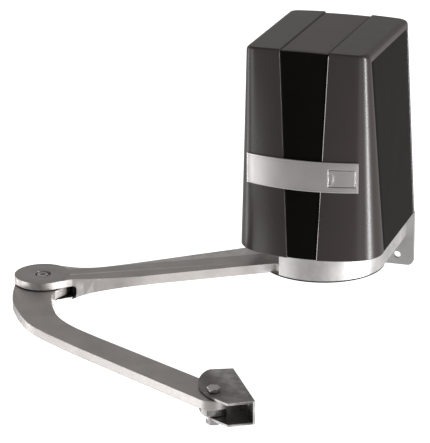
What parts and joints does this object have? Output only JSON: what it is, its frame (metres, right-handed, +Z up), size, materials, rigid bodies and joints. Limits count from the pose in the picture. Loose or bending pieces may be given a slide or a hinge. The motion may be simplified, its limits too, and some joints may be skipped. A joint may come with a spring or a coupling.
{
  "type": "gate opener arm",
  "caption": "Articulated-arm swing-gate opener: covered motor unit on a wall plate, straight drive arm, curved second arm and a bent gate bracket.",
  "frame": {"origin": "centre of the wall plate's back face in width, level with the bottom rim of the cover", "axes": "+Z up along the output shaft, +Y into the wall, so the opener's front faces -Y; +X to the right seen from the front"},
  "size_m": [0.4931, 0.6819, 0.3836],
  "materials": {
    "bronze_plastic": "satin bronze-charcoal moulding",
    "black_gloss": "gloss black",
    "brushed_band": "brushed silver",
    "cast_aluminium": "satin casting",
    "arm_aluminium": "satin casting, machined faces",
    "zinc_plate": "zinc plated",
    "bracket_zinc": "dark zinc plated",
    "bright_steel": "bright zinc plated",
    "gear_steel": "ground",
    "bronze_bush": "sintered bronze",
    "seal_rubber": "matt",
    "motor_black": "satin black",
    "board_green": "solder mask",
    "moulded_grey": "satin",
    "transformer_core": "varnished laminations"
  },
  "bodies": {
    "motor_unit": {"wall_plate": "zinc_plate", "base_casting": "cast_aluminium", "foot_bolt_left": "bright_steel", "foot_bolt_right": "bright_steel", "gearbox_housing": "cast_aluminium", "gearbox_lid": "cast_aluminium", "lower_bearing": "gear_steel", "upper_bearing": "gear_steel", "shaft_seal": "seal_rubber", "idler_axle": "gear_steel", "motor_body": "motor_black", "motor_end_cap": "zinc_plate", "board_tray": "moulded_grey", "control_board": "board_green", "board_post_left": "moulded_grey", "board_post_right": "moulded_grey", "terminal_block": "board_green", "run_capacitor": "moulded_grey", "transformer": "transformer_core", "cable_gland": "moulded_grey"},
    "cover": {"cover_shell": "bronze_plastic", "front_panel": "black_gloss", "side_panel_left": "black_gloss", "side_panel_right": "black_gloss", "badge_band": "brushed_band", "lock_sleeve": "moulded_grey"},
    "lock_flap": {"lock_flap": "brushed_band"},
    "lock_key_barrel": {"lock_barrel": "bright_steel", "lock_cam": "gear_steel"},
    "drive_arm": {"drive_arm": "arm_aluminium", "output_shaft": "gear_steel", "output_gear": "gear_steel", "shaft_key": "bright_steel", "hub_washer": "bright_steel", "hub_bolt": "bright_steel", "elbow_bolt": "bright_steel", "elbow_nut": "bright_steel", "elbow_washer_lower": "seal_rubber"},
    "idler": {"idler_pinion": "gear_steel", "idler_wheel": "bronze_bush"},
    "motor_rotor": {"motor_pinion": "gear_steel", "motor_shaft": "gear_steel"},
    "curved_arm": {"curved_arm": "arm_aluminium", "elbow_bush": "bronze_bush", "elbow_washer_upper": "seal_rubber", "gate_bush": "bronze_bush"},
    "gate_bracket": {"gate_bracket": "bracket_zinc", "gate_bolt": "bright_steel", "gate_washer": "bright_steel", "gate_nut": "bright_steel", "gate_spacer": "bracket_zinc"}
  },
  "joints": [
    {"name": "cover_lift", "type": "slide", "parent": "motor_unit", "child": "cover", "axis": [0, 0, 1], "range_m": [0, 0.34]},
    {"name": "lock_flap_hinge", "type": "hinge", "parent": "cover", "child": "lock_flap", "pos_m": [0.0731, -0.2396, 0.1217], "axis": [0, 0, 1], "range_deg": [0, 88]},
    {"name": "lock_turn", "type": "hinge", "parent": "cover", "child": "lock_key_barrel", "pos_m": [0.052, -0.2382, 0.1217], "axis": [0.225, -0.9744, 0], "range_deg": [0, 90]},
    {"name": "drive_swing", "type": "hinge", "parent": "motor_unit", "child": "drive_arm", "pos_m": [0, -0.1368, 0], "axis": [0, 0, 1], "range_deg": [-41, 9.5]},
    {"name": "idler_spin", "type": "hinge", "parent": "motor_unit", "child": "idler", "pos_m": [0, -0.0768, 0], "axis": [0, 0, 1], "range_deg": [-38.1, 164.1]},
    {"name": "rotor_spin", "type": "hinge", "parent": "motor_unit", "child": "motor_rotor", "pos_m": [0, -0.1118, 0], "axis": [0, 0, 1], "range_deg": [-656.1, 152.1]},
    {"name": "elbow_swing", "type": "hinge", "parent": "drive_arm", "child": "curved_arm", "pos_m": [-0.35093, -0.33535, -0.046], "axis": [0, 0, 1], "range_deg": [-110, 45]},
    {"name": "bracket_swing", "type": "hinge", "parent": "curved_arm", "child": "gate_bracket", "pos_m": [0.00022, -0.6482, -0.0515], "axis": [0, 0, 1], "range_deg": [-120, 36]}
  ],
  "couplings": [
    {"joint": "idler_spin", "follows": "drive_swing", "ratio": -4},
    {"joint": "rotor_spin", "follows": "drive_swing", "ratio": 16}
  ]
}
